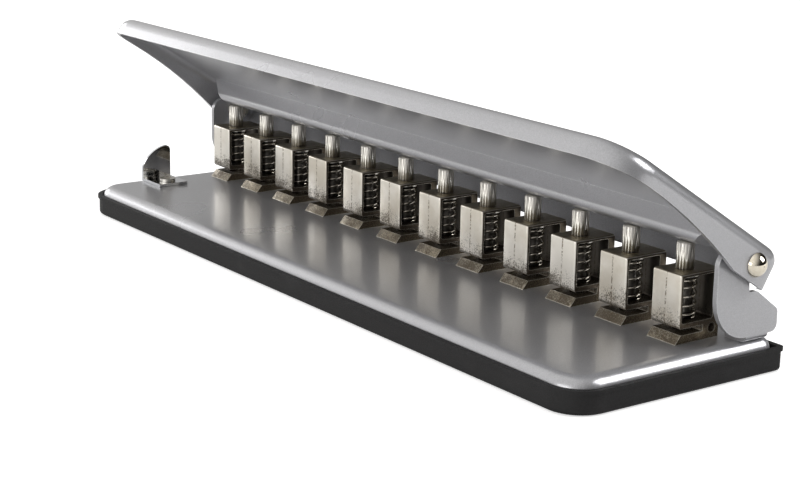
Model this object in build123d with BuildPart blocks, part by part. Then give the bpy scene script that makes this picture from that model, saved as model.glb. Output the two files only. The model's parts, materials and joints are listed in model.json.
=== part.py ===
"""Twelve-head lever punch for loose-leaf sheets that are held on binding discs.

Millimetres. +X runs along the row of heads, the sheet enters from -Y and +Z is up.
The origin is the centre of the chip tray's underside. Everything stands in its rest
pose: the handle is raised and every punch is up.
"""
from build123d import *
import math
import os

os.makedirs("parts", exist_ok=True)

# ------------------------------------------------------------------ driving dimensions
# Row of heads
HEAD_COUNT = 12
HEAD_PITCH = 25.4
HEAD_WIDTH = 13.1
HEAD_DEPTH = 18.0
HEAD_INSET = 34.2
DIE_THICKNESS = 2.9
SLOT_HEIGHT = 2.1
SLOT_DEPTH = 10.9
BOX_HEIGHT = 18.1
FRONT_WALL = 1.2
REAR_WALL = 2.8
BOX_FLOOR = 1.7
BOX_ROOF = 1.1
WINDOW_CORNER_R = 0.9
LIP_REACH = 1.25
LIP_CHAMFER = 2.45
BOX_CHAMFER = 0.9
ROD_HOLE_R = 1.6
ROD_HOLE_SETBACK = 14.95
ROD_HOLE_RISE = 3.55

# Punches, clips and springs
PIN_R = 3.0
PIN_SETBACK = 7.7
PIN_RIB_GAP = 0.12
PIN_TIP_RISE = 0.3
PIN_EDGE = 0.35
STEM_WIDTH = 2.4
STEM_REACH = 3.3
STEM_HEIGHT = 9.0
CLIP_R = 4.9
CLIP_THICKNESS = 0.8
CLIP_ROOF_GAP = 0.15
CLIP_MOUTH = 4.4
CLIP_GROOVE = 0.5
SPRING_WIRE = 0.8
SPRING_R = 4.1
SPRING_ACTIVE_TURNS = 3.5
SPRING_END_TURNS = 1.0
SPRING_END_PITCH = 1.3
SPRING_SEAT_GAP = 0.08

# Chip tray
TRAY_LENGTH = 319.0
TRAY_WIDTH = 92.0
TRAY_HEIGHT = 8.3
TRAY_FLOOR = 2.0
TRAY_WALL = 1.4
TRAY_BEAD = 0.6
TRAY_BEAD_HEIGHT = 1.3
TRAY_FRONT_R = 12.3
TRAY_REAR_R = 1.9
TRAY_FOOT_R = 1.5

# Base plate
BASE_TOP_Z = 11.5
BASE_SHEET = 1.5
BASE_TRAY_GAP = 0.4
BASE_REAR_GAP = 0.4
BASE_EDGE_R = 4.4
BASE_REAR_CORNER_R = 4.6

# Brackets
BRACKET_FACE_X = 157.0
BRACKET_SHEET = 1.8
BRACKET_FRONT_REACH = 12.8
BRACKET_TOP_RISE = 5.3
BRACKET_TOP_R = 5.5
BRACKET_FOOT_R = 14.5
BRACKET_REAR_GAP = 0.3
BRACKET_SHOULDER_RISE = 9.5
BRACKET_NECK_REACH = 1.9
BRACKET_WAIST_REACH = 5.5
BRACKET_WAIST_DROP = 10.3
BRACKET_HUB_R = 5.1
BRACKET_HUB_LEAN_DEG = 75.0
BRACKET_EDGE_RISE = 2.1
BRACKET_NOTCH_R = 0.3
BRACKET_CORNER_R = 2.6
FOOT_REACH = 9.3
FOOT_END_GAP = 4.0
BEND_R = 0.5

# Pivots
PIVOT_SETBACK = 18.1
PIVOT_ABOVE_HEAD = 4.3
PIVOT_R = 2.5
PIVOT_DOME_R = 4.1
PIVOT_DOME_HEIGHT = 2.9
PIVOT_TAIL = 0.9
PIVOT_TAIL_R = 3.4
WASHER_R = 4.9
WASHER_THICKNESS = 1.2
SPACER_R = 3.1
ARM_GAP = 2.4

# Handle, in its own frame: u runs forward from the pivot, v is square to its flat top
HANDLE_REST_DEG = 32.0
HANDLE_SHEET = 1.6
HANDLE_TOP_V = 8.0
HANDLE_FRONT_U = 74.6
HANDLE_REAR_U = 10.6
HANDLE_SKIRT_V = 5.6
HANDLE_LIP_V = -0.45
HANDLE_PLAN_R = 16.4
HANDLE_REAR_PLAN_R = 5.2
HANDLE_EDGE_R = 5.0
HANDLE_HEEL_R = 2.0
SKIRT_LEVEL_U = 8.5
SKIRT_BELLY_U = 34.0
SKIRT_BELLY_V = 0.9
RIB_REAR_U = 9.6
RIB_WIDTH = 7.1
RIB_DEPTH_V = 1.7
RIB_EDGE_R = 2.6
RIB_END_GAP = 3.2
RIB_END_SLOPE = 9.5

# Paper guide
GUIDE_FACE_X = -152.4
GUIDE_SHEET = 1.2
GUIDE_INSET = 21.1
GUIDE_LENGTH = 13.4
GUIDE_FRONT_HEIGHT = 6.6
GUIDE_HEIGHT = 14.8
GUIDE_CROWN_R = 2.2
GUIDE_CROWN_FALL = 0.12
GUIDE_FOOT = 15.0
GUIDE_TRAVEL = 3.9
GUIDE_SCREW_R = 1.5
GUIDE_SCREW_HEAD_R = 3.4
GUIDE_SCREW_HEAD = 1.1

# Fasteners
SCREW_R = 1.25
SCREW_HEAD_R = 2.2
SCREW_HEAD = 1.4
SCREW_BITE = 2.3
SCREW_SPREAD = 4.4
SCREW_SETBACK = 12.0
RIVET_R = 1.5
RIVET_HEAD_R = 2.3
RIVET_HEAD = 1.1
RIVET_CROWN_R = 0.75
RIVET_TAIL = 1.0
RIVET_TAIL_R = 1.9
RIVET_SPACING = 5.6

# Clearances
RUNNING_FIT = 0.05
SCREW_FIT = 0.15
PIVOT_PLAY = 0.15
GUIDE_PLAY = 0.1
CHIP_RELIEF = 0.8
DIE_FIT = 0.05

# Steps for drawing and cutting
TURN_STEP = 0.02
OVERCUT = 1.0

# ------------------------------------------------------------------ derived places
seat_z = BASE_TOP_Z
die_top_z = seat_z + DIE_THICKNESS
box_bottom_z = die_top_z + SLOT_HEIGHT
box_top_z = box_bottom_z + BOX_HEIGHT
window_floor_z = box_bottom_z + BOX_FLOOR
window_top_z = box_top_z - BOX_ROOF
pin_tip_z = box_bottom_z + PIN_TIP_RISE
head_x = [(index - (HEAD_COUNT - 1) / 2) * HEAD_PITCH for index in range(HEAD_COUNT)]

clip_top_z = window_top_z - CLIP_ROOF_GAP
clip_bottom_z = clip_top_z - CLIP_THICKNESS
spring_bottom_z = window_floor_z + SPRING_WIRE / 2 + SPRING_SEAT_GAP
spring_top_z = clip_bottom_z - SPRING_WIRE / 2 - SPRING_SEAT_GAP

tray_wall_x = TRAY_LENGTH / 2 - TRAY_BEAD
tray_wall_y = TRAY_WIDTH / 2 - TRAY_BEAD
tray_inner_x = tray_wall_x - TRAY_WALL
tray_inner_y = tray_wall_y - TRAY_WALL

base_half_x = tray_inner_x - BASE_TRAY_GAP
base_front_y = -tray_inner_y + BASE_TRAY_GAP
base_rear_y = tray_inner_y - BASE_REAR_GAP
base_front_r = TRAY_FRONT_R - TRAY_WALL - BASE_TRAY_GAP
base_under_z = BASE_TOP_Z - BASE_SHEET

head_front_y = base_rear_y - HEAD_INSET
head_rear_y = head_front_y + HEAD_DEPTH
pin_y = head_front_y + PIN_SETBACK
pivot_y = head_front_y + PIVOT_SETBACK
pivot_z = box_top_z + PIVOT_ABOVE_HEAD

bracket_inner_x = BRACKET_FACE_X - BRACKET_SHEET
bend_outer_r = BEND_R + BRACKET_SHEET
bracket_front_y = pivot_y - BRACKET_FRONT_REACH
bracket_rear_y = base_rear_y - BRACKET_REAR_GAP
bracket_top_z = pivot_z + BRACKET_TOP_RISE
waist_z = pivot_z - BRACKET_WAIST_DROP
shoulder_z = seat_z + BRACKET_SHOULDER_RISE
foot_front_y = bracket_front_y + BRACKET_FOOT_R
foot_rear_y = bracket_rear_y - FOOT_END_GAP
foot_top_z = seat_z + BRACKET_SHEET
foot_inner_x = BRACKET_FACE_X - FOOT_REACH

arm_inner_x = BRACKET_FACE_X + ARM_GAP
arm_outer_x = arm_inner_x + HANDLE_SHEET

rest_angle = math.radians(HANDLE_REST_DEG)
pivot = Vector(0, pivot_y, pivot_z)
forward = Vector(0, -math.cos(rest_angle), math.sin(rest_angle))
outward = Vector(0, math.sin(rest_angle), math.cos(rest_angle))
handle_side = Plane(origin=pivot, x_dir=forward, z_dir=(-1, 0, 0))
handle_plan = Plane(origin=pivot, x_dir=(1, 0, 0), z_dir=outward)
web_under_v = HANDLE_TOP_V - HANDLE_SHEET
rib_edge = pivot + forward * (RIB_REAR_U + RIB_EDGE_R) + outward * (RIB_EDGE_R - RIB_DEPTH_V)
pin_top_z = rib_edge.Z - RIB_EDGE_R - PIN_RIB_GAP

guide_front_y = base_front_y + GUIDE_INSET
guide_rear_y = guide_front_y + GUIDE_LENGTH
guide_foot_z = seat_z + GUIDE_PLAY
guide_screw_x = GUIDE_FACE_X + GUIDE_FOOT / 2 + GUIDE_TRAVEL / 2
guide_screw_y = guide_front_y + GUIDE_LENGTH / 2

screw_places = [
    (x + side * SCREW_SPREAD, head_front_y + SCREW_SETBACK) for x in head_x for side in (-1, 1)
]
rivet_x = foot_inner_x + RIVET_HEAD_R
rivet_mid_y = (foot_front_y + foot_rear_y) / 2
rivet_places = [
    (side * rivet_x, rivet_mid_y + row * RIVET_SPACING / 2) for side in (-1, 1) for row in (-1, 1)
]


def plan_outline(half_x, front_y, rear_y, front_r, rear_r):
    """Rectangle whose two front corners and two rear corners have their own radius."""
    with BuildSketch() as plan:
        with Locations((0, (front_y + rear_y) / 2)):
            Rectangle(2 * half_x, rear_y - front_y)
        fillet(plan.vertices().group_by(Axis.Y)[0], front_r)
        fillet(plan.vertices().group_by(Axis.Y)[-1], rear_r)
    return plan.sketch


def punch_outline(growth):
    """Mushroom section of a punch's lower end, grown all round, with its axis at the origin."""
    with BuildSketch() as section:
        Circle(PIN_R + growth)
        with Locations((0, (STEM_REACH + growth) / 2)):
            Rectangle(STEM_WIDTH + 2 * growth, STEM_REACH + growth)
    return section.sketch


def save(part, name):
    """Label a finished piece and write it as its own file."""
    part.label = name
    export_step(part, f"parts/{name}.step")


def save_row(master, stem):
    """Write one copy of a piece, modelled at X = 0, for every head in the row."""
    for number, x in enumerate(head_x, start=1):
        save(master.moved(Location((x, 0, 0))), f"{stem}_{number:02d}")


# ------------------------------------------------------------------ chip tray
with BuildPart() as chip_tray:
    with BuildSketch():
        add(plan_outline(tray_wall_x, -tray_wall_y, tray_wall_y, TRAY_FRONT_R, TRAY_REAR_R))
    extrude(amount=TRAY_HEIGHT)
    fillet(chip_tray.faces().sort_by(Axis.Z)[0].edges(), TRAY_FOOT_R)
    with BuildSketch(Plane.XY.offset(TRAY_HEIGHT - TRAY_BEAD_HEIGHT)):
        add(
            plan_outline(
                TRAY_LENGTH / 2,
                -TRAY_WIDTH / 2,
                TRAY_WIDTH / 2,
                TRAY_FRONT_R + TRAY_BEAD,
                TRAY_REAR_R + TRAY_BEAD,
            )
        )
    extrude(amount=TRAY_BEAD_HEIGHT)
    with BuildSketch(Plane.XY.offset(TRAY_FLOOR)):
        add(
            plan_outline(
                tray_inner_x,
                -tray_inner_y,
                tray_inner_y,
                TRAY_FRONT_R - TRAY_WALL,
                TRAY_REAR_R - TRAY_WALL,
            )
        )
    extrude(amount=TRAY_HEIGHT, mode=Mode.SUBTRACT)
save(chip_tray.part, "chip_tray")

# ------------------------------------------------------------------ base plate
with BuildPart() as base_hollow:
    with BuildSketch(Plane.XY.offset(TRAY_FLOOR - BASE_SHEET)):
        add(
            plan_outline(
                base_half_x - BASE_SHEET,
                base_front_y + BASE_SHEET,
                base_rear_y - BASE_SHEET,
                base_front_r - BASE_SHEET,
                BASE_REAR_CORNER_R - BASE_SHEET,
            )
        )
    extrude(amount=base_under_z - TRAY_FLOOR + BASE_SHEET)
    fillet(base_hollow.faces().sort_by(Axis.Z)[-1].edges(), BASE_EDGE_R - BASE_SHEET)

with BuildPart() as base_plate:
    with BuildSketch(Plane.XY.offset(TRAY_FLOOR)):
        add(plan_outline(base_half_x, base_front_y, base_rear_y, base_front_r, BASE_REAR_CORNER_R))
    extrude(amount=BASE_TOP_Z - TRAY_FLOOR)
    fillet(base_plate.faces().sort_by(Axis.Z)[-1].edges(), BASE_EDGE_R)
    add(base_hollow.part, mode=Mode.SUBTRACT)
    with BuildSketch(Plane.XY.offset(base_under_z)):
        for x in head_x:
            with Locations((x, pin_y)):
                add(punch_outline(CHIP_RELIEF))
        with Locations(*screw_places):
            Circle(SCREW_R + SCREW_FIT)
        with Locations(*rivet_places):
            Circle(RIVET_R + RUNNING_FIT)
        with Locations((guide_screw_x, guide_screw_y)):
            Circle(GUIDE_SCREW_R + RUNNING_FIT)
    extrude(amount=BASE_SHEET, mode=Mode.SUBTRACT)
save(base_plate.part, "base_plate")

# ------------------------------------------------------------------ punch heads
with BuildPart() as head_frame:
    with BuildSketch(Plane.YZ) as side:
        with BuildLine():
            Polyline(
                (head_front_y - LIP_REACH, seat_z),
                (head_rear_y, seat_z),
                (head_rear_y, box_top_z),
                (head_front_y, box_top_z),
                (head_front_y, box_bottom_z + BOX_CHAMFER),
                (head_front_y + BOX_CHAMFER, box_bottom_z),
                (head_front_y + SLOT_DEPTH, box_bottom_z),
                (head_front_y + SLOT_DEPTH, die_top_z),
                (head_front_y - LIP_REACH + LIP_CHAMFER, die_top_z),
                close=True,
            )
        make_face()
        window_y = head_front_y + FRONT_WALL
        window_length = HEAD_DEPTH - FRONT_WALL - REAR_WALL
        window_height = window_top_z - window_floor_z
        with Locations((window_y + window_length / 2, window_floor_z + window_height / 2)):
            RectangleRounded(window_length, window_height, WINDOW_CORNER_R, mode=Mode.SUBTRACT)
        with Locations((head_front_y + ROD_HOLE_SETBACK, seat_z + ROD_HOLE_RISE)):
            Circle(ROD_HOLE_R, mode=Mode.SUBTRACT)
    extrude(amount=HEAD_WIDTH / 2, both=True)
    with BuildSketch(Plane.XY.offset(window_top_z)):
        with Locations((0, pin_y)):
            Circle(PIN_R + RUNNING_FIT)
    extrude(amount=BOX_ROOF, mode=Mode.SUBTRACT)
    with BuildSketch(Plane.XY.offset(seat_z)):
        with Locations((0, pin_y)):
            add(punch_outline(DIE_FIT))
    extrude(amount=window_floor_z - seat_z, mode=Mode.SUBTRACT)
    with BuildSketch(Plane.XY.offset(seat_z)):
        for side in (-1, 1):
            with Locations((side * SCREW_SPREAD, head_front_y + SCREW_SETBACK)):
                Circle(SCREW_R)
    extrude(amount=SCREW_BITE, mode=Mode.SUBTRACT)
save_row(head_frame.part, "head_frame")

# ------------------------------------------------------------------ head screws
with BuildPart() as head_screws:
    with BuildSketch(Plane.XY.offset(base_under_z)):
        with Locations(*screw_places):
            Circle(SCREW_HEAD_R)
    extrude(amount=-SCREW_HEAD)
    with BuildSketch(Plane.XY.offset(base_under_z)):
        with Locations(*screw_places):
            Circle(SCREW_R)
    extrude(amount=BASE_SHEET + SCREW_BITE)
save(head_screws.part, "head_screws")

# ------------------------------------------------------------------ punches and clips
with BuildPart() as punch_pin:
    with BuildSketch(Plane.XY.offset(pin_tip_z)):
        with Locations((0, pin_y)):
            Circle(PIN_R)
    extrude(amount=pin_top_z - pin_tip_z)
    chamfer(punch_pin.faces().sort_by(Axis.Z)[-1].edges(), PIN_EDGE)
    with BuildSketch(Plane.XY.offset(pin_tip_z)):
        with Locations((0, pin_y)):
            add(punch_outline(0))
    extrude(amount=STEM_HEIGHT)
    with BuildSketch(Plane.XY.offset(clip_bottom_z)):
        with Locations((0, pin_y)):
            Circle(PIN_R)
            Circle(PIN_R - CLIP_GROOVE, mode=Mode.SUBTRACT)
    extrude(amount=CLIP_THICKNESS, mode=Mode.SUBTRACT)
save_row(punch_pin.part, "punch_pin")

with BuildPart() as pin_clip:
    with BuildSketch(Plane.XY.offset(clip_bottom_z)):
        with Locations((0, pin_y)):
            Circle(CLIP_R)
            Circle(PIN_R - CLIP_GROOVE, mode=Mode.SUBTRACT)
        with Locations((0, pin_y + CLIP_R)):
            Rectangle(CLIP_MOUTH, 2 * CLIP_R, mode=Mode.SUBTRACT)
    extrude(amount=CLIP_THICKNESS)
save_row(pin_clip.part, "pin_clip")


# ------------------------------------------------------------------ return springs
def spring_height(turn):
    """Height of the wire's centre after so many turns: close end turns, open middle."""
    total_turns = 2 * SPRING_END_TURNS + SPRING_ACTIVE_TURNS
    end_rise = SPRING_END_TURNS * SPRING_END_PITCH
    open_pitch = (spring_top_z - spring_bottom_z - 2 * end_rise) / SPRING_ACTIVE_TURNS
    if turn <= SPRING_END_TURNS:
        return spring_bottom_z + turn * SPRING_END_PITCH
    if turn >= total_turns - SPRING_END_TURNS:
        return spring_top_z - (total_turns - turn) * SPRING_END_PITCH
    return spring_bottom_z + end_rise + (turn - SPRING_END_TURNS) * open_pitch


def spring_point(turn):
    """Centre of the wire after so many turns, for the spring at X = 0."""
    angle = 2 * math.pi * turn
    return Vector(SPRING_R * math.cos(angle), pin_y + SPRING_R * math.sin(angle), spring_height(turn))


def spring_heading(turn):
    """Direction of the wire after so many turns, level enough to be smooth at the end turns."""
    step = TURN_STEP
    angle = 2 * math.pi * turn
    rise = (spring_height(turn + step) - spring_height(turn - step)) / (2 * step)
    around = 2 * math.pi * SPRING_R
    return Vector(-around * math.sin(angle), around * math.cos(angle), rise).normalized()


def biarc_middle(start, start_heading, end, end_heading):
    """Meeting point and heading of the two arcs that join two directed points."""
    span = end - start
    headings = start_heading + end_heading
    square = 2 * (1 - start_heading.dot(end_heading))
    cross = span.dot(headings)
    reach = (-cross + math.sqrt(cross * cross + square * span.dot(span))) / square
    first_knee = start + start_heading * reach
    second_knee = end - end_heading * reach
    return (first_knee + second_knee) / 2, (second_knee - first_knee).normalized()


spring_turns = 2 * SPRING_END_TURNS + SPRING_ACTIVE_TURNS
quarter_count = round(4 * spring_turns)
stations = [spring_turns * index / quarter_count for index in range(quarter_count + 1)]

with BuildPart() as return_spring:
    with BuildLine() as wire_path:
        for turn, next_turn in zip(stations, stations[1:]):
            start, start_heading = spring_point(turn), spring_heading(turn)
            end, end_heading = spring_point(next_turn), spring_heading(next_turn)
            middle, middle_heading = biarc_middle(start, start_heading, end, end_heading)
            TangentArc(start, middle, tangent=start_heading)
            TangentArc(middle, end, tangent=middle_heading)
    with BuildSketch(Plane(origin=spring_point(0), z_dir=spring_heading(0))):
        Circle(SPRING_WIRE / 2)
    sweep()
save_row(return_spring.part, "return_spring")

sample_count = round(spring_turns / TURN_STEP)
half_turn = round(0.5 / TURN_STEP)
samples = [spring_point(index * TURN_STEP) for index in range(sample_count + 1)]
wire_gap = min(
    (samples[late] - samples[early]).length - SPRING_WIRE
    for early in range(len(samples))
    for late in range(early + half_turn, len(samples))
)
wire_length = sum(edge.length for edge in wire_path.edges())
print(f"spring: least gap to itself {wire_gap:.2f} mm, wire {wire_length:.1f} mm")
print(f"spring: volume {return_spring.part.volume:.2f}, section times length "
      f"{math.pi * SPRING_WIRE ** 2 / 4 * wire_length:.2f}")

# ------------------------------------------------------------------ brackets
hub_lean = math.radians(BRACKET_HUB_LEAN_DEG)
plate_bottom_z = seat_z + BRACKET_EDGE_RISE
bend_top_z = seat_z + bend_outer_r + BEND_R

with BuildPart() as bracket_right:
    with BuildSketch(Plane.YZ.offset(bracket_inner_x)):
        with BuildLine():
            FilletPolyline(
                (bracket_front_y, plate_bottom_z),
                (bracket_front_y, bracket_top_z),
                (pivot_y, bracket_top_z),
                (
                    pivot_y + BRACKET_HUB_R * math.cos(hub_lean),
                    pivot_z - BRACKET_HUB_R * math.sin(hub_lean),
                ),
                (pivot_y + BRACKET_NECK_REACH, waist_z),
                (pivot_y + BRACKET_WAIST_REACH, waist_z),
                (bracket_rear_y, shoulder_z),
                (bracket_rear_y, plate_bottom_z),
                radius=[
                    BRACKET_FOOT_R,
                    BRACKET_TOP_R,
                    BRACKET_NOTCH_R,
                    BRACKET_NOTCH_R,
                    BRACKET_NOTCH_R,
                    BRACKET_CORNER_R,
                    BRACKET_CORNER_R,
                    BRACKET_CORNER_R,
                ],
                close=True,
            )
        make_face()
        with Locations((pivot_y, pivot_z)):
            Circle(BRACKET_HUB_R)
            Circle(PIVOT_R + RUNNING_FIT, mode=Mode.SUBTRACT)
        with Locations(((foot_front_y + foot_rear_y) / 2, seat_z)):
            Rectangle(foot_rear_y - foot_front_y, 2 * bend_outer_r, mode=Mode.SUBTRACT)
    extrude(amount=BRACKET_SHEET)
    with BuildSketch(Plane.XZ.offset(-foot_front_y)):
        with BuildLine():
            FilletPolyline(
                (BRACKET_FACE_X, bend_top_z),
                (BRACKET_FACE_X, seat_z),
                (foot_inner_x, seat_z),
                (foot_inner_x, foot_top_z),
                (bracket_inner_x, foot_top_z),
                (bracket_inner_x, bend_top_z),
                radius=[0.0, bend_outer_r, 0.0, 0.0, BEND_R, 0.0],
                close=True,
            )
        make_face()
    extrude(amount=foot_front_y - foot_rear_y)
    with BuildSketch(Plane.XY.offset(seat_z)):
        with Locations(*[place for place in rivet_places if place[0] > 0]):
            Circle(RIVET_R + RUNNING_FIT)
    extrude(amount=BRACKET_SHEET, mode=Mode.SUBTRACT)
save(bracket_right.part, "bracket_right")

with BuildPart() as bracket_left:
    mirror(bracket_right.part, about=Plane.YZ)
save(bracket_left.part, "bracket_left")

# ------------------------------------------------------------------ bracket rivets
with BuildPart() as bracket_rivets:
    with BuildSketch(Plane.XY.offset(foot_top_z)):
        with Locations(*rivet_places):
            Circle(RIVET_HEAD_R)
    extrude(amount=RIVET_HEAD)
    fillet(bracket_rivets.faces().group_by(Axis.Z)[-1].edges(), RIVET_CROWN_R)
    with BuildSketch(Plane.XY.offset(base_under_z)):
        with Locations(*rivet_places):
            Circle(RIVET_R)
    extrude(amount=foot_top_z - base_under_z)
    with BuildSketch(Plane.XY.offset(base_under_z)):
        with Locations(*rivet_places):
            Circle(RIVET_TAIL_R)
    extrude(amount=-RIVET_TAIL)
save(bracket_rivets.part, "bracket_rivets")

# ------------------------------------------------------------------ pivots
dome_x = arm_outer_x + PIVOT_PLAY
dome_r = (PIVOT_DOME_R ** 2 + PIVOT_DOME_HEIGHT ** 2) / (2 * PIVOT_DOME_HEIGHT)
dome_sweep = math.degrees(math.acos((dome_r - PIVOT_DOME_HEIGHT) / dome_r))
washer_face_x = bracket_inner_x - WASHER_THICKNESS

with BuildPart() as pivot_pin_right:
    with BuildSketch(Plane(origin=pivot, x_dir=(1, 0, 0), z_dir=(0, -1, 0))):
        with BuildLine():
            CenterArc((dome_x + PIVOT_DOME_HEIGHT - dome_r, 0), dome_r, 0, dome_sweep)
            Polyline(
                (dome_x, PIVOT_DOME_R),
                (dome_x, PIVOT_R),
                (washer_face_x, PIVOT_R),
                (washer_face_x, PIVOT_TAIL_R),
                (washer_face_x - PIVOT_TAIL, PIVOT_TAIL_R),
                (washer_face_x - PIVOT_TAIL, 0),
                (dome_x + PIVOT_DOME_HEIGHT, 0),
            )
        make_face()
    revolve(axis=Axis(pivot, (1, 0, 0)))
save(pivot_pin_right.part, "pivot_pin_right")

with BuildPart() as pivot_pin_left:
    mirror(pivot_pin_right.part, about=Plane.YZ)
save(pivot_pin_left.part, "pivot_pin_left")

with BuildPart() as pivot_washers:
    with BuildSketch(Plane.YZ.offset(bracket_inner_x)):
        with Locations((pivot_y, pivot_z)):
            Circle(WASHER_R)
            Circle(PIVOT_R + RUNNING_FIT, mode=Mode.SUBTRACT)
    extrude(amount=-WASHER_THICKNESS)
    with BuildSketch(Plane.YZ.offset(BRACKET_FACE_X)):
        with Locations((pivot_y, pivot_z)):
            Circle(SPACER_R)
            Circle(PIVOT_R + RUNNING_FIT, mode=Mode.SUBTRACT)
    extrude(amount=ARM_GAP - PIVOT_PLAY)
    mirror(about=Plane.YZ)
save(pivot_washers.part, "pivot_washers")

# ------------------------------------------------------------------ handle
rib_top_half_x = arm_inner_x - RIB_END_GAP
rib_height = web_under_v + RIB_DEPTH_V
rib_end_angle = math.atan2(rib_height, RIB_END_SLOPE)
rib_plane = Plane(origin=pivot + forward * RIB_REAR_U, x_dir=(1, 0, 0), z_dir=forward)
groove_plane = rib_plane.offset(HANDLE_SHEET)


def rib_outline(top_v, bottom_v, inset):
    """Boat-shaped front view of the pressed rib between two heights, drawn in from its ends."""
    slope = RIB_END_SLOPE / rib_height
    top_half = rib_top_half_x + (top_v - web_under_v) * slope - inset
    bottom_half = rib_top_half_x + (bottom_v - web_under_v) * slope - inset
    with BuildSketch() as outline:
        with BuildLine():
            Polyline(
                (-top_half, top_v),
                (-bottom_half, bottom_v),
                (bottom_half, bottom_v),
                (top_half, top_v),
                close=True,
            )
        make_face()
    return outline.sketch


with BuildPart() as handle_rib:
    with BuildSketch(rib_plane):
        add(rib_outline(web_under_v + HANDLE_SHEET / 2, -RIB_DEPTH_V, 0))
    extrude(amount=RIB_WIDTH)
    fillet(handle_rib.faces().sort_by(Axis((0, 0, 0), outward))[0].edges(), RIB_EDGE_R)

with BuildPart() as handle_groove:
    with BuildSketch(groove_plane):
        add(
            rib_outline(
                HANDLE_TOP_V + HANDLE_SHEET,
                HANDLE_SHEET - RIB_DEPTH_V,
                HANDLE_SHEET / math.sin(rib_end_angle),
            )
        )
    extrude(amount=RIB_WIDTH - 2 * HANDLE_SHEET)
    fillet(
        handle_groove.faces().sort_by(Axis((0, 0, 0), outward))[0].edges(),
        RIB_EDGE_R - HANDLE_SHEET,
    )

with BuildPart() as handle_hollow:
    with BuildSketch(handle_plan.offset(-HANDLE_SKIRT_V - HANDLE_SHEET)):
        add(
            plan_outline(
                arm_inner_x,
                -HANDLE_FRONT_U + HANDLE_SHEET,
                HANDLE_REAR_U - HANDLE_SHEET,
                HANDLE_PLAN_R - HANDLE_SHEET,
                HANDLE_REAR_PLAN_R - HANDLE_SHEET,
            )
        )
    extrude(amount=web_under_v + HANDLE_SKIRT_V + HANDLE_SHEET)
    fillet(
        handle_hollow.faces().sort_by(Axis((0, 0, 0), outward))[-1].edges(),
        HANDLE_EDGE_R - HANDLE_SHEET,
    )

with BuildPart() as handle:
    with BuildSketch(handle_plan.offset(-HANDLE_SKIRT_V)):
        add(
            plan_outline(
                arm_outer_x, -HANDLE_FRONT_U, HANDLE_REAR_U, HANDLE_PLAN_R, HANDLE_REAR_PLAN_R
            )
        )
    extrude(amount=HANDLE_TOP_V + HANDLE_SKIRT_V)
    fillet(
        handle.faces().sort_by(Axis((0, 0, 0), outward))[-1].edges(),
        HANDLE_EDGE_R,
    )
    with BuildSketch(handle_side) as side_view:
        with BuildLine():
            rear_top = (-HANDLE_REAR_U - OVERCUT, HANDLE_TOP_V + OVERCUT)
            heel_high = (-HANDLE_REAR_U, -HANDLE_SKIRT_V + HANDLE_HEEL_R)
            heel_low = (-HANDLE_REAR_U + HANDLE_HEEL_R, -HANDLE_SKIRT_V)
            level_end = (SKIRT_LEVEL_U, -HANDLE_SKIRT_V)
            lip_end = (HANDLE_FRONT_U + OVERCUT, HANDLE_LIP_V)
            front_top = (HANDLE_FRONT_U + OVERCUT, HANDLE_TOP_V + OVERCUT)
            Polyline(front_top, rear_top, (-HANDLE_REAR_U - OVERCUT, heel_high[1]), heel_high)
            RadiusArc(heel_high, heel_low, HANDLE_HEEL_R)
            Line(heel_low, level_end)
            ThreePointArc(level_end, (SKIRT_BELLY_U, -SKIRT_BELLY_V), lip_end)
            Line(lip_end, front_top)
        make_face()
    extrude(amount=2 * arm_outer_x, both=True, mode=Mode.INTERSECT)
    add(handle_hollow.part, mode=Mode.SUBTRACT)
    add(handle_rib.part)
    add(handle_groove.part, mode=Mode.SUBTRACT)
    with BuildSketch(handle_side):
        Circle(PIVOT_R + RUNNING_FIT)
    extrude(amount=2 * arm_outer_x, both=True, mode=Mode.SUBTRACT)
save(handle.part, "handle")

# ------------------------------------------------------------------ paper guide
with BuildPart() as paper_guide:
    with BuildSketch(Plane.YZ.offset(GUIDE_FACE_X)):
        crown_y = guide_rear_y - GUIDE_CROWN_R
        crown_z = seat_z + GUIDE_HEIGHT
        with BuildLine():
            Polyline(
                (guide_front_y, seat_z + GUIDE_FRONT_HEIGHT),
                (guide_front_y, guide_foot_z),
                (guide_rear_y, guide_foot_z),
                (guide_rear_y, crown_z - GUIDE_CROWN_R),
            )
            RadiusArc((guide_rear_y, crown_z - GUIDE_CROWN_R), (crown_y, crown_z), -GUIDE_CROWN_R)
            TangentArc(
                (crown_y, crown_z),
                (guide_front_y, seat_z + GUIDE_FRONT_HEIGHT),
                tangent=(-1, -GUIDE_CROWN_FALL),
            )
        make_face()
    extrude(amount=-GUIDE_SHEET)
    with BuildSketch(Plane.XY.offset(guide_foot_z)):
        foot_x = GUIDE_FACE_X - GUIDE_SHEET / 2
        with Locations((foot_x + (GUIDE_FOOT + GUIDE_SHEET / 2) / 2, guide_screw_y)):
            Rectangle(GUIDE_FOOT + GUIDE_SHEET / 2, GUIDE_LENGTH)
        with Locations((guide_screw_x - GUIDE_TRAVEL / 2, guide_screw_y)):
            SlotOverall(
                GUIDE_TRAVEL + 2 * (GUIDE_SCREW_R + SCREW_FIT),
                2 * (GUIDE_SCREW_R + SCREW_FIT),
                mode=Mode.SUBTRACT,
            )
    extrude(amount=GUIDE_SHEET)
save(paper_guide.part, "paper_guide")

with BuildPart() as guide_screw:
    with BuildSketch(Plane.XY.offset(guide_foot_z + GUIDE_SHEET + GUIDE_PLAY)):
        with Locations((guide_screw_x, guide_screw_y)):
            Circle(GUIDE_SCREW_HEAD_R)
    extrude(amount=GUIDE_SCREW_HEAD)
    with BuildSketch(Plane.XY.offset(base_under_z - BASE_SHEET)):
        with Locations((guide_screw_x, guide_screw_y)):
            Circle(GUIDE_SCREW_R)
    extrude(amount=guide_foot_z + GUIDE_SHEET + GUIDE_PLAY - base_under_z + BASE_SHEET)
save(guide_screw.part, "guide_screw")
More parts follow.
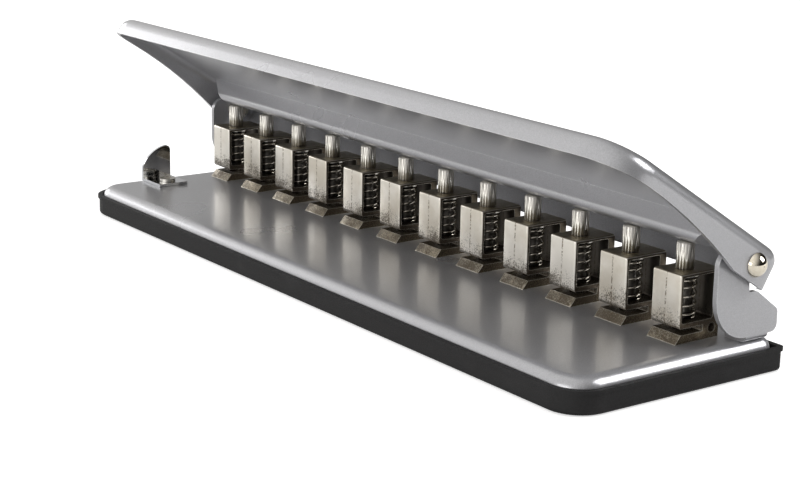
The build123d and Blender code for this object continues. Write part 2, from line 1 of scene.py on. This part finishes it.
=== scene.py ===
"""Twelve-head lever punch: the finish of every piece, the studio light and the camera.

Metres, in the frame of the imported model: +X along the row of heads, the sheet enters
from -Y, +Z up, origin at the centre of the tray's underside.
"""

import json
import math

import bmesh
import bpy
from mathutils import Matrix, Vector


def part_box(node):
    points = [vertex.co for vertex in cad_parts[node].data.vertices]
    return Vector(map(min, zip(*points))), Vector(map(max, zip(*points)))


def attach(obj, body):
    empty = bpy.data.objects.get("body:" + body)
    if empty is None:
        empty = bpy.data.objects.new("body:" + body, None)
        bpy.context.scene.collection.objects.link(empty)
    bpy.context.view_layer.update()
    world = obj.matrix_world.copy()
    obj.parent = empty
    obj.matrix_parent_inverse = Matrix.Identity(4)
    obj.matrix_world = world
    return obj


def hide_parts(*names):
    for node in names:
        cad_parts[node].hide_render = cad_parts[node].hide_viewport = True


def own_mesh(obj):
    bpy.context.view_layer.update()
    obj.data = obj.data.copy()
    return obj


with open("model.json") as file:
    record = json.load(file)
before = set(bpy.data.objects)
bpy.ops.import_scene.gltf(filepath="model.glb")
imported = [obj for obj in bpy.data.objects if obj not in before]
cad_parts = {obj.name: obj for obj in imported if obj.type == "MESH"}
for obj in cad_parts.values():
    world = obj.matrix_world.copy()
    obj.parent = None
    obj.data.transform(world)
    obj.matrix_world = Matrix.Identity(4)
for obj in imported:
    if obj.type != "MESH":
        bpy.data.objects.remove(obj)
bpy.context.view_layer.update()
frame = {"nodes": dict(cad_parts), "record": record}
nodes = frame["nodes"]

# ------------------------------------------------------------------ sizes, in metres
MM = 0.001
HEAD_COUNT = 12
HEAD_PITCH = 25.4 * MM
HEADS = range(1, HEAD_COUNT + 1)

SPRING_WIRE = 0.8 * MM
SPRING_R = 4.1 * MM
SPRING_ACTIVE_TURNS = 3.5
SPRING_END_TURNS = 1.0
SPRING_END_PITCH = 1.3 * MM
SPRING_STEPS = 132

HEAD_WIDTH = 13.1 * MM
HEAD_LENGTH = 18.0 * MM
DIE_TOP = 14.4 * MM
SEAM_RISE = 0.12 * MM
HEAD_TOP = 34.6 * MM
HEAD_CORNER = 0.75 * MM
HEAD_EDGE = 0.30 * MM
PIN_SETBACK = 7.7 * MM
PIN_HOLE = 3.4 * MM

MERGE_REACH = 0.002 * MM
TOUCHING = 0.01 * MM
SHORTEST_EDGE = 0.05 * MM
SMOOTH_ANGLE = math.radians(32)
SHARP_ANGLE = math.radians(35)
FLAT_ANGLE = math.radians(1)
FRONT_DEPTH = 0.15 * MM
SOLE_HEIGHT = 0.2 * MM
PIN_SURROUND = 1.3 * PIN_HOLE

# Solved from the corners of the twelve heads in the photograph
CAMERA_PLACE = Vector((0.54455, -0.39425, 0.18833))
CAMERA_AZIMUTH = math.radians(53.709)
CAMERA_ELEVATION = math.radians(14.594)
CAMERA_ROLL = math.radians(1.202)
CAMERA_LENS = 82.34
SENSOR_WIDTH = 36.0
LAMP_TARGET = Vector((0, 0, 0.03))


# ------------------------------------------------------------------ camera
def add_camera():
    """Camera at the photograph's place, turned by its azimuth, elevation and roll."""
    forward = Vector((
        -math.sin(CAMERA_AZIMUTH) * math.cos(CAMERA_ELEVATION),
        math.cos(CAMERA_AZIMUTH) * math.cos(CAMERA_ELEVATION),
        -math.sin(CAMERA_ELEVATION),
    ))
    right = forward.cross(Vector((0, 0, 1))).normalized()
    up = right.cross(forward)
    rolled_right = right * math.cos(CAMERA_ROLL) + up * math.sin(CAMERA_ROLL)
    rolled_up = up * math.cos(CAMERA_ROLL) - right * math.sin(CAMERA_ROLL)
    data = bpy.data.cameras.new("camera")
    data.lens = CAMERA_LENS
    data.sensor_width = SENSOR_WIDTH
    data.clip_end = 20.0
    camera = bpy.data.objects.new("camera", data)
    turn = Matrix((rolled_right, rolled_up, -forward)).transposed().to_4x4()
    camera.matrix_world = Matrix.Translation(CAMERA_PLACE) @ turn
    bpy.context.scene.collection.objects.link(camera)
    bpy.context.scene.camera = camera


# ------------------------------------------------------------------ shader helpers
def link(tree, source, target):
    """Join two sockets."""
    tree.links.new(source, target)


def add_node(tree, kind, **settings):
    """New shader node with its properties set."""
    node = tree.nodes.new(kind)
    for name, value in settings.items():
        setattr(node, name, value)
    return node


def math_node(tree, operation, first, second=None, third=None, clamp=False):
    """Math node on sockets or numbers; gives its output socket."""
    node = add_node(tree, "ShaderNodeMath", operation=operation, use_clamp=clamp)
    for socket, value in zip(node.inputs, (first, second, third)):
        if value is None:
            continue
        if isinstance(value, (int, float)):
            socket.default_value = value
        else:
            link(tree, value, socket)
    return node.outputs[0]


def noise(tree, vector, scale, detail=2.0, roughness=0.5):
    """Noise texture on a vector socket; gives its factor socket."""
    node = add_node(tree, "ShaderNodeTexNoise")
    node.inputs["Scale"].default_value = scale
    node.inputs["Detail"].default_value = detail
    node.inputs["Roughness"].default_value = roughness
    link(tree, vector, node.inputs["Vector"])
    return node.outputs["Fac"]


def ramp(tree, value, low, high, to_low=0.0, to_high=1.0, smooth=True):
    """Value remapped from one range to another and held inside it."""
    node = add_node(tree, "ShaderNodeMapRange", clamp=True)
    node.interpolation_type = "SMOOTHSTEP" if smooth else "LINEAR"
    link(tree, value, node.inputs["Value"])
    limits = {"From Min": low, "From Max": high, "To Min": to_low, "To Max": to_high}
    for name, number in limits.items():
        node.inputs[name].default_value = number
    return node.outputs["Result"]


def mix_colour(tree, mask, first, second):
    """Mix of two colours by a mask socket."""
    node = add_node(tree, "ShaderNodeMix", data_type="RGBA")
    link(tree, mask, node.inputs["Factor"])
    for socket, value in ((node.inputs[6], first), (node.inputs[7], second)):
        if isinstance(value, tuple):
            socket.default_value = (*value, 1.0)
        else:
            link(tree, value, socket)
    return node.outputs[2]


def new_group(name, inputs, outputs):
    """Empty shader group with float, vector or colour sockets; gives tree, input and output."""
    tree = bpy.data.node_groups.new(name, "ShaderNodeTree")
    for socket_name, kind, default in inputs:
        socket = tree.interface.new_socket(socket_name, in_out="INPUT", socket_type=kind)
        if default is not None:
            socket.default_value = default
    for socket_name, kind in outputs:
        tree.interface.new_socket(socket_name, in_out="OUTPUT", socket_type=kind)
    return tree, tree.nodes.new("NodeGroupInput"), tree.nodes.new("NodeGroupOutput")


FLOAT = "NodeSocketFloat"
VECTOR = "NodeSocketVector"
COLOUR = "NodeSocketColor"


def make_edge_group():
    """Mask of the outer edges, used for wear and a painted highlight: where a rounded normal leaves the
    face's own normal.
    """
    tree, given, result = new_group(
        "edge_wear_and_highlight", [("Reach", FLOAT, 0.0004), ("Breakup", FLOAT, 0.5)], [("Mask", FLOAT)]
    )
    coordinates = add_node(tree, "ShaderNodeTexCoord").outputs["Object"]
    bevel = add_node(tree, "ShaderNodeBevel", samples=4)
    link(tree, given.outputs["Reach"], bevel.inputs["Radius"])
    geometry = add_node(tree, "ShaderNodeNewGeometry")
    product = add_node(tree, "ShaderNodeVectorMath", operation="DOT_PRODUCT")
    link(tree, bevel.outputs["Normal"], product.inputs[0])
    link(tree, geometry.outputs["Normal"], product.inputs[1])
    edge = ramp(tree, product.outputs["Value"], 0.995, 0.93, 0.0, 1.0)
    patchy = ramp(tree, noise(tree, coordinates, 900.0, 3.0), 0.35, 0.65)
    broken = math_node(tree, "MULTIPLY", patchy, given.outputs["Breakup"])
    kept = math_node(tree, "SUBTRACT", 1.0, broken, clamp=True)
    link(tree, math_node(tree, "MULTIPLY", edge, kept), result.inputs["Mask"])
    return tree


def make_flake_group():
    """Metallic paint: tiny flakes that vary the colour, and a faint orange-peel height."""
    tree, given, result = new_group(
        "paint_flake",
        [("Flake Scale", FLOAT, 5200.0), ("Peel Scale", FLOAT, 900.0)],
        [("Flake", FLOAT), ("Height", FLOAT), ("Cloud", FLOAT)],
    )
    coordinates = add_node(tree, "ShaderNodeTexCoord").outputs["Object"]
    flake = add_node(tree, "ShaderNodeTexVoronoi", feature="F1")
    link(tree, coordinates, flake.inputs["Vector"])
    link(tree, given.outputs["Flake Scale"], flake.inputs["Scale"])
    tone = add_node(tree, "ShaderNodeSeparateColor")
    link(tree, flake.outputs["Color"], tone.inputs["Color"])
    link(tree, tone.outputs["Red"], result.inputs["Flake"])
    peel = add_node(tree, "ShaderNodeTexNoise")
    peel.inputs["Detail"].default_value = 2.0
    link(tree, coordinates, peel.inputs["Vector"])
    link(tree, given.outputs["Peel Scale"], peel.inputs["Scale"])
    link(tree, peel.outputs["Fac"], result.inputs["Height"])
    link(tree, noise(tree, coordinates, 14.0, 3.0), result.inputs["Cloud"])
    return tree


def make_cast_group():
    """Die-cast skin by place: seam, dark specks denser low on the front, and painted shade in the
    window, on the flanks and on the roof.
    """
    tree, given, result = new_group(
        "cast_skin",
        [("Front", FLOAT, 0.0094), ("Floor", FLOAT, 0.0182), ("Roof", FLOAT, 0.0335)],
        [
            (name, FLOAT)
            for name in ("Low Specks", "Seam", "Height", "Cloud", "Flank Shade", "Roof Shade", "Inside", "Sill")
        ],
    )
    place = add_node(tree, "ShaderNodeTexCoord")
    coordinates = place.outputs["Object"]
    split = add_node(tree, "ShaderNodeSeparateXYZ")
    link(tree, coordinates, split.inputs["Vector"])
    facing = add_node(tree, "ShaderNodeSeparateXYZ")
    link(tree, place.outputs["Normal"], facing.inputs["Vector"])
    offset = math_node(
        tree,
        "ABSOLUTE",
        math_node(
            tree,
            "SUBTRACT",
            math_node(tree, "FRACT", math_node(tree, "DIVIDE", split.outputs["X"], HEAD_PITCH)),
            0.5,
        ),
    )
    # Painted shade: the flanks (faces turned along X) and the roof are marked to be darkened.
    side = math_node(tree, "ABSOLUTE", facing.outputs["X"])
    link(tree, ramp(tree, side, 0.80, 0.97), result.inputs["Flank Shade"])
    link(tree, ramp(tree, facing.outputs["Z"], 0.5, 0.9), result.inputs["Roof Shade"])

    # Painted shade: the inside of the head, above the window's floor, below the roof and behind the
    # front wall.
    rise = math_node(tree, "SUBTRACT", split.outputs["Z"], given.outputs["Floor"])
    below_roof = math_node(tree, "SUBTRACT", given.outputs["Roof"], split.outputs["Z"])
    behind = math_node(tree, "SUBTRACT", split.outputs["Y"], given.outputs["Front"])
    above_floor = ramp(tree, rise, -0.0003, 0.0001)
    inside_shade = math_node(tree, "MULTIPLY", above_floor, ramp(tree, below_roof, -0.0003, 0.0001))
    inside_shade = math_node(tree, "MULTIPLY", inside_shade, ramp(tree, behind, 0.0009, 0.0013))
    inside_shade = math_node(tree, "MULTIPLY", inside_shade, ramp(tree, offset, 0.247, 0.256, 1.0, 0.0))
    link(tree, inside_shade, result.inputs["Inside"])
    link(tree, ramp(tree, split.outputs["Z"], 0.0148, 0.0172, 1.0, 0.0), result.inputs["Sill"])

    # Dark specks, denser towards the bottom of the front.
    low_band = ramp(tree, split.outputs["Z"], 0.0165, 0.0290, 1.0, 0.0)
    fine = noise(tree, coordinates, 1900.0, 5.0, 0.75)
    broad = noise(tree, coordinates, 130.0, 3.0, 0.6)
    mixed = math_node(
        tree, "ADD", math_node(tree, "MULTIPLY", fine, 0.75), math_node(tree, "MULTIPLY", broad, 0.40)
    )
    shifted = math_node(tree, "ADD", mixed, math_node(tree, "MULTIPLY", low_band, 0.26))
    link(tree, ramp(tree, shifted, 0.72, 0.88), result.inputs["Low Specks"])

    wobble = math_node(tree, "MULTIPLY", noise(tree, coordinates, 260.0, 2.0), 0.008)
    line = ramp(tree, math_node(tree, "SUBTRACT", offset, wobble), 0.014, 0.002)
    dots = ramp(tree, noise(tree, coordinates, 1300.0, 2.0, 0.6), 0.40, 0.58)
    seam = math_node(tree, "MULTIPLY", line, dots)
    link(tree, seam, result.inputs["Seam"])

    pits = add_node(tree, "ShaderNodeTexVoronoi", feature="F1")
    pits.inputs["Scale"].default_value = 620.0
    link(tree, coordinates, pits.inputs["Vector"])
    hollow = ramp(tree, pits.outputs["Distance"], 0.0, 0.22)
    grain = math_node(tree, "MULTIPLY", noise(tree, coordinates, 2400.0, 3.0, 0.6), 0.5)
    height = math_node(tree, "ADD", math_node(tree, "MULTIPLY", hollow, 0.5), grain)
    cut = math_node(tree, "MULTIPLY", seam, 0.6)
    link(tree, math_node(tree, "SUBTRACT", height, cut), result.inputs["Height"])
    link(tree, noise(tree, coordinates, 55.0, 4.0, 0.6), result.inputs["Cloud"])
    return tree


def make_brushed_group():
    """Fine scratches that run along one axis: 'Stretch' scales the coordinates before the noise."""
    tree, given, result = new_group(
        "fine_scratches", [("Stretch", VECTOR, (1.0, 1.0, 1.0))], [("Streak", FLOAT), ("Smudge", FLOAT)]
    )
    coordinates = add_node(tree, "ShaderNodeTexCoord").outputs["Object"]
    stretch = add_node(tree, "ShaderNodeVectorMath", operation="MULTIPLY")
    link(tree, coordinates, stretch.inputs[0])
    link(tree, given.outputs["Stretch"], stretch.inputs[1])
    link(tree, noise(tree, stretch.outputs["Vector"], 900.0, 4.0, 0.7), result.inputs["Streak"])
    link(tree, noise(tree, coordinates, 120.0, 3.0, 0.6), result.inputs["Smudge"])
    return tree


def new_material(name, metallic, roughness, **fixed):
    """Material with a Principled shader; gives the material, its tree and the shader."""
    material = bpy.data.materials.new(name)
    material.use_nodes = True
    tree = material.node_tree
    shader = tree.nodes["Principled BSDF"]
    shader.inputs["Metallic"].default_value = metallic
    shader.inputs["Roughness"].default_value = roughness
    for socket, value in fixed.items():
        shader.inputs[socket.replace("_", " ")].default_value = value
    return material, tree, shader


def group_node(tree, group, **values):
    """A group placed in a material with its own values."""
    node = add_node(tree, "ShaderNodeGroup", node_tree=group)
    for name, value in values.items():
        node.inputs[name.replace("_", " ")].default_value = value
    return node


def bump(tree, shader, height, strength, distance):
    """Height joined to the shader's normal."""
    node = add_node(tree, "ShaderNodeBump")
    node.inputs["Strength"].default_value = strength
    node.inputs["Distance"].default_value = distance
    link(tree, height, node.inputs["Height"])
    link(tree, node.outputs["Normal"], shader.inputs["Normal"])


# ------------------------------------------------------------------ materials
edge_group = make_edge_group()
flake_group = make_flake_group()
cast_group = make_cast_group()
brushed_group = make_brushed_group()


def silver_paint():
    """Semi-gloss silver paint on pressed sheet, paler along the edges for wear and a painted highlight.
    """
    material, tree, shader = new_material("silver_paint", 0.60, 0.30, Coat_Roughness=0.10)
    flake = group_node(tree, flake_group)
    edge = group_node(tree, edge_group, Reach=0.0005, Breakup=0.6)
    base = mix_colour(tree, flake.outputs["Flake"], (0.39, 0.39, 0.405), (0.50, 0.50, 0.52))
    clouds = ramp(tree, flake.outputs["Cloud"], 0.35, 0.7, 0.0, 0.35)
    cloudy = mix_colour(tree, clouds, base, (0.43, 0.43, 0.445))
    # Paler edges: wear and a painted highlight.
    worn_and_lit = mix_colour(tree, edge.outputs["Mask"], cloudy, (0.66, 0.67, 0.68))
    link(tree, worn_and_lit, shader.inputs["Base Color"])
    link(tree, ramp(tree, flake.outputs["Cloud"], 0.3, 0.7, 0.27, 0.33), shader.inputs["Roughness"])
    shader.inputs["Coat Weight"].default_value = 0.30
    bump(tree, shader, flake.outputs["Height"], 0.12, 0.0002)
    return material


def tray_plastic():
    """Matte black moulding with a fine spark-eroded grain and a little dust."""
    material, tree, shader = new_material("tray_plastic", 0.0, 0.6, Specular_IOR_Level=0.35)
    coordinates = add_node(tree, "ShaderNodeTexCoord").outputs["Object"]
    grain = noise(tree, coordinates, 2600.0, 3.0, 0.6)
    dust = ramp(tree, noise(tree, coordinates, 70.0, 5.0, 0.65), 0.5, 0.8)
    dusty = mix_colour(tree, dust, (0.0075, 0.0070, 0.0075), (0.016, 0.015, 0.016))
    link(tree, dusty, shader.inputs["Base Color"])
    link(tree, ramp(tree, grain, 0.3, 0.7, 0.5, 0.68), shader.inputs["Roughness"])
    bump(tree, shader, grain, 0.25, 0.0002)
    return material


def die_cast_zinc():
    """Nickel-plated die casting: bright fronts, flanks, roof and window darkened brown as painted shade,
    dotted seam.
    """
    material, tree, shader = new_material("die_cast_zinc", 0.85, 0.32)
    skin = group_node(tree, cast_group)
    edge = group_node(tree, edge_group, Reach=0.00035, Breakup=0.35)
    clouds = ramp(tree, skin.outputs["Cloud"], 0.35, 0.65)
    skin_colour = mix_colour(tree, clouds, (0.66, 0.610, 0.520), (0.82, 0.785, 0.715))
    # Painted shade darkens the flanks, the roof and the inside of the head; the edges get a paler tone
    # for wear and a painted highlight.
    layers = (
        (skin.outputs["Flank Shade"], None, (0.115, 0.095, 0.070)),
        (skin.outputs["Roof Shade"], None, (0.235, 0.200, 0.135)),
        (skin.outputs["Sill"], 0.75, (0.200, 0.165, 0.110)),
        (skin.outputs["Seam"], 0.80, (0.130, 0.085, 0.045)),
        (skin.outputs["Low Specks"], 0.85, (0.060, 0.045, 0.030)),
        (edge.outputs["Mask"], 0.75, (0.720, 0.690, 0.610)),
        (skin.outputs["Inside"], 0.92, (0.040, 0.032, 0.024)),
    )
    for mask, share, tint in layers:
        amount = mask if share is None else math_node(tree, "MULTIPLY", mask, share)
        skin_colour = mix_colour(tree, amount, skin_colour, tint)
    link(tree, skin_colour, shader.inputs["Base Color"])
    link(tree, ramp(tree, skin.outputs["Low Specks"], 0.0, 1.0, 0.29, 0.55), shader.inputs["Roughness"])
    bump(tree, shader, skin.outputs["Height"], 0.30, 0.00012)
    return material


def punch_steel():
    """Ground steel punch, darkened with painted shade where it runs inside its head."""
    material, tree, shader = new_material("punch_steel", 1.0, 0.24)
    scratch = group_node(tree, brushed_group, Stretch=(1.0, 1.0, 0.08))
    streaks = ramp(tree, scratch.outputs["Streak"], 0.35, 0.65)
    tone = mix_colour(tree, streaks, (0.82, 0.79, 0.72), (0.88, 0.85, 0.78))
    split = add_node(tree, "ShaderNodeSeparateXYZ")
    link(tree, add_node(tree, "ShaderNodeTexCoord").outputs["Object"], split.inputs["Vector"])
    # Painted shade: darker below its head's roof, with a ragged edge, where the punch runs inside the
    # head.
    ragged = math_node(tree, "MULTIPLY", scratch.outputs["Smudge"], 0.0030)
    height = math_node(tree, "ADD", split.outputs["Z"], ragged)
    shade_below_roof = ramp(tree, height, 0.0350, 0.0362, 1.0, 0.0)
    pin_with_shade = mix_colour(tree, math_node(tree, "MULTIPLY", shade_below_roof, 0.86), tone, (0.070, 0.060, 0.050))
    link(tree, pin_with_shade, shader.inputs["Base Color"])
    link(tree, ramp(tree, scratch.outputs["Smudge"], 0.35, 0.7, 0.30, 0.40), shader.inputs["Roughness"])
    return material


def ground_steel(name, base, dark, roughness, stretch):
    """Bright steel with fine scratches along one axis and faint finger marks."""
    material, tree, shader = new_material(name, 1.0, roughness)
    scratch = group_node(tree, brushed_group, Stretch=stretch)
    tone = mix_colour(tree, ramp(tree, scratch.outputs["Streak"], 0.35, 0.65), dark, base)
    link(tree, tone, shader.inputs["Base Color"])
    link(
        tree,
        ramp(tree, scratch.outputs["Smudge"], 0.35, 0.7, roughness * 0.8, roughness * 1.35),
        shader.inputs["Roughness"],
    )
    bump(tree, shader, scratch.outputs["Streak"], 0.08, 0.00005)
    return material


ALL_WAYS = (1.0, 1.0, 1.0)
ALONG_X = (1.0, 0.2, 0.2)
# Name, light tone, dark tone, roughness and how the scratches are drawn out
STEELS = (
    ("spring_wire", (0.66, 0.62, 0.54), (0.46, 0.42, 0.35), 0.20, ALL_WAYS),
    ("plated_steel", (0.62, 0.60, 0.55), (0.48, 0.46, 0.42), 0.28, ALL_WAYS),
    ("rivet_nickel", (0.86, 0.80, 0.68), (0.78, 0.71, 0.58), 0.07, ALL_WAYS),
    ("mirror_steel", (0.74, 0.75, 0.77), (0.68, 0.69, 0.71), 0.05, ALONG_X),
)
materials = {
    "silver_paint": silver_paint(),
    "tray_plastic": tray_plastic(),
    "die_cast_zinc": die_cast_zinc(),
    "punch_steel": punch_steel(),
}
for finish in STEELS:
    materials[finish[0]] = ground_steel(*finish)
node_slot = {part["node"]: part["material_slot"] for part in frame["record"]["subparts"]}


def paint(piece, slot_name):
    """One material on the whole piece."""
    if not piece.material_slots:
        piece.data.materials.append(materials[slot_name])
    for slot in piece.material_slots:
        slot.material = materials[slot_name]


# ------------------------------------------------------------------ pieces
def spring_height(turn, bottom, top):
    """Height of the wire's centre after so many turns: close end turns, open middle."""
    total_turns = 2 * SPRING_END_TURNS + SPRING_ACTIVE_TURNS
    end_rise = SPRING_END_TURNS * SPRING_END_PITCH
    open_pitch = (top - bottom - 2 * end_rise) / SPRING_ACTIVE_TURNS
    if turn <= SPRING_END_TURNS:
        return bottom + turn * SPRING_END_PITCH
    if turn >= total_turns - SPRING_END_TURNS:
        return top - (total_turns - turn) * SPRING_END_PITCH
    return bottom + end_rise + (turn - SPRING_END_TURNS) * open_pitch


def select_only(piece):
    """Everything deselected but one piece, which becomes the active one."""
    bpy.ops.object.select_all(action="DESELECT")
    piece.select_set(True)
    bpy.context.view_layer.objects.active = piece


def merged_copy(name, node_name):
    """Copy of a CAD node's mesh with its triangles joined, left in edit mode, all selected."""
    piece = bpy.data.objects.new(name, nodes[node_name].data.copy())
    bpy.context.scene.collection.objects.link(piece)
    select_only(piece)
    bpy.ops.object.mode_set(mode="EDIT")
    bpy.ops.mesh.select_all(action="SELECT")
    bpy.ops.mesh.remove_doubles(threshold=MERGE_REACH)
    return piece


def select_box_edges(head, low, middle, front, pin_y, outer):
    """Sharp edges of the head: its long front and roof edges, or all the others but the pin's hole."""
    bpy.ops.mesh.select_all(action="DESELECT")
    bpy.ops.mesh.edges_select_sharp(sharpness=SHARP_ANGLE)
    shell = bmesh.from_edit_mesh(head.data)
    for edge in shell.edges:
        if not edge.select:
            continue
        ends = [vertex.co for vertex in edge.verts]
        centre = (ends[0] + ends[1]) / 2
        at_front = all(end.y < front + FRONT_DEPTH and end.z > DIE_TOP + MM for end in ends)
        on_side = all(abs(abs(end.x - middle) - HEAD_WIDTH / 2) < TOUCHING for end in ends)
        at_roof = all(end.z > HEAD_TOP - TOUCHING for end in ends)
        long_edge = at_front or (on_side and at_roof)
        from_pin = math.hypot(centre.x - middle, centre.y - pin_y)
        kept_sharp = (not on_side and from_pin < PIN_SURROUND) or centre.z < low.z + SOLE_HEIGHT
        if outer:
            edge.select_set(long_edge)
        else:
            edge.select_set(not kept_sharp and not long_edge and edge.calc_length() > SHORTEST_EDGE)
    bmesh.update_edit_mesh(head.data)


def model_head():
    """First head: its CAD copy merged, seamed down the middle and rounded on its outer edges."""
    low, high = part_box("head_frame_01")
    middle = (low.x + high.x) / 2
    front = high.y - HEAD_LENGTH
    pin_y = front + PIN_SETBACK
    head = merged_copy("cast_head_01", "head_frame_01")
    bpy.ops.mesh.dissolve_limited(angle_limit=FLAT_ANGLE)
    bpy.ops.mesh.select_all(action="SELECT")
    bpy.ops.mesh.bisect(plane_co=(middle, 0, 0), plane_no=(1, 0, 0))
    shell = bmesh.from_edit_mesh(head.data)
    for vertex in shell.verts:
        vertex.select_set(abs(vertex.co.x - middle) < TOUCHING and vertex.co.y < front + TOUCHING
                          and vertex.co.z > DIE_TOP + MM)
    shell.select_flush_mode()
    bmesh.update_edit_mesh(head.data)
    bpy.ops.transform.translate(value=(0, -SEAM_RISE, 0))
    bpy.context.tool_settings.mesh_select_mode = (False, True, False)
    select_box_edges(head, low, middle, front, pin_y, outer=True)
    bpy.ops.mesh.bevel(offset=HEAD_CORNER, segments=4, affect="EDGES", clamp_overlap=False)
    select_box_edges(head, low, middle, front, pin_y, outer=False)
    bpy.ops.mesh.bevel(offset=HEAD_EDGE, segments=2, affect="EDGES", clamp_overlap=True)
    bpy.ops.object.mode_set(mode="OBJECT")
    bpy.ops.object.shade_smooth_by_angle(angle=SMOOTH_ANGLE)
    return head


def make_heads():
    """Twelve heads from one model, each with its own mesh at its place in the row."""
    first = model_head()
    for number in HEADS:
        head = first
        if number > 1:
            head = bpy.data.objects.new(f"cast_head_{number:02d}", first.data.copy())
            bpy.context.scene.collection.objects.link(head)
            head.data.transform(Matrix.Translation(((number - 1) * HEAD_PITCH, 0, 0)))
        paint(head, "die_cast_zinc")
        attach(head, "frame")
        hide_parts(f"head_frame_{number:02d}")


def make_pins():
    """Twelve punches: merged copies of their CAD meshes, shaded round."""
    for number in HEADS:
        pin = merged_copy(f"ground_pin_{number:02d}", f"punch_pin_{number:02d}")
        bpy.ops.object.mode_set(mode="OBJECT")
        bpy.ops.object.shade_smooth_by_angle(angle=SMOOTH_ANGLE)
        paint(pin, "punch_steel")
        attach(pin, f"punch_{number:02d}")
        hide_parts(f"punch_pin_{number:02d}")


def make_spring(number):
    """One return spring, wound to the CAD spring's box."""
    low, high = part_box(f"return_spring_{number:02d}")
    centre_x = (low.x + high.x) / 2
    centre_y = (low.y + high.y) / 2
    bottom = low.z + SPRING_WIRE / 2
    top = high.z - SPRING_WIRE / 2
    total_turns = 2 * SPRING_END_TURNS + SPRING_ACTIVE_TURNS
    curve = bpy.data.curves.new(f"coil_spring_{number:02d}", "CURVE")
    curve.dimensions = "3D"
    curve.bevel_depth = SPRING_WIRE / 2
    curve.bevel_resolution = 3
    curve.use_fill_caps = True
    spline = curve.splines.new("POLY")
    spline.points.add(SPRING_STEPS)
    for index, point in enumerate(spline.points):
        turn = total_turns * index / SPRING_STEPS
        angle = 2 * math.pi * turn
        point.co = (
            centre_x + SPRING_R * math.cos(angle),
            centre_y + SPRING_R * math.sin(angle),
            spring_height(turn, bottom, top),
            1.0,
        )
    piece = bpy.data.objects.new(f"coil_spring_{number:02d}", curve)
    bpy.context.scene.collection.objects.link(piece)
    select_only(piece)
    bpy.ops.object.convert(target="MESH")
    bpy.ops.object.shade_smooth()
    paint(piece, "spring_wire")
    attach(piece, "frame")
    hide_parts(f"return_spring_{number:02d}")
    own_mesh(piece)


# ------------------------------------------------------------------ studio
def studio_world():
    """White to the camera; for light and reflections a soft room, bright in front and dark behind."""
    world = bpy.data.worlds.new("studio")
    bpy.context.scene.world = world
    world.use_nodes = True
    tree = world.node_tree
    tree.nodes.clear()
    direction = add_node(tree, "ShaderNodeTexCoord").outputs["Generated"]
    key = add_node(tree, "ShaderNodeVectorMath", operation="DOT_PRODUCT")
    key.inputs[1].default_value = Vector((-0.45, -0.80, 0.40)).normalized()
    link(tree, direction, key.inputs[0])
    level = ramp(tree, key.outputs["Value"], -0.5, 0.75, 0.02, 0.98)
    room = add_node(tree, "ShaderNodeBackground")
    room.inputs["Color"].default_value = (1.0, 0.99, 0.97, 1.0)
    link(tree, level, room.inputs["Strength"])
    white = add_node(tree, "ShaderNodeBackground")
    white.inputs["Color"].default_value = (1.0, 1.0, 1.0, 1.0)
    path = add_node(tree, "ShaderNodeLightPath")
    mix = add_node(tree, "ShaderNodeMixShader")
    link(tree, path.outputs["Is Camera Ray"], mix.inputs["Fac"])
    link(tree, room.outputs["Background"], mix.inputs[1])
    link(tree, white.outputs["Background"], mix.inputs[2])
    output = add_node(tree, "ShaderNodeOutputWorld")
    link(tree, mix.outputs["Shader"], output.inputs["Surface"])


def add_lamp(name, place, size, power):
    """Soft box that points at the middle of the object."""
    data = bpy.data.lights.new(name, "AREA")
    data.shape = "RECTANGLE"
    data.size, data.size_y = size
    data.energy = power
    lamp = bpy.data.objects.new(name, data)
    aim = (LAMP_TARGET - Vector(place)).to_track_quat("-Z", "Y")
    lamp.matrix_world = Matrix.Translation(place) @ aim.to_matrix().to_4x4()
    bpy.context.scene.collection.objects.link(lamp)


def add_floor():
    """White table that keeps the object's soft shadow and is white to the camera elsewhere."""
    bpy.ops.object.select_all(action="DESELECT")
    bpy.ops.mesh.primitive_plane_add(size=8.0, location=(0, 0, -0.0002))
    floor = bpy.context.active_object
    floor.name = "table"
    material = bpy.data.materials.new("table_white")
    material.use_nodes = True
    tree = material.node_tree
    shader = tree.nodes["Principled BSDF"]
    shader.inputs["Base Color"].default_value = (0.86, 0.86, 0.86, 1.0)
    shader.inputs["Roughness"].default_value = 0.9
    glow = add_node(tree, "ShaderNodeEmission")
    path = add_node(tree, "ShaderNodeLightPath")
    link(tree, math_node(tree, "MULTIPLY", path.outputs["Is Camera Ray"], 0.55), glow.inputs["Strength"])
    both = add_node(tree, "ShaderNodeAddShader")
    link(tree, shader.outputs["BSDF"], both.inputs[0])
    link(tree, glow.outputs["Emission"], both.inputs[1])
    link(tree, both.outputs["Shader"], tree.nodes["Material Output"].inputs["Surface"])
    floor.data.materials.append(material)


# ------------------------------------------------------------------ build
add_camera()
for node_name, node in nodes.items():
    paint(node, node_slot[node_name])
make_heads()
make_pins()
for number in HEADS:
    make_spring(number)
studio_world()
add_floor()
add_lamp("front_softbox", (0.15, -1.7, 0.42), (1.6, 0.6), 6.5)
add_lamp("rear_softbox", (1.0, 1.2, 1.0), (0.9, 0.9), 19.0)
add_lamp("left_softbox", (-1.6, -0.3, 0.4), (0.8, 0.6), 4.5)
bpy.context.scene.view_settings.view_transform = "Standard"
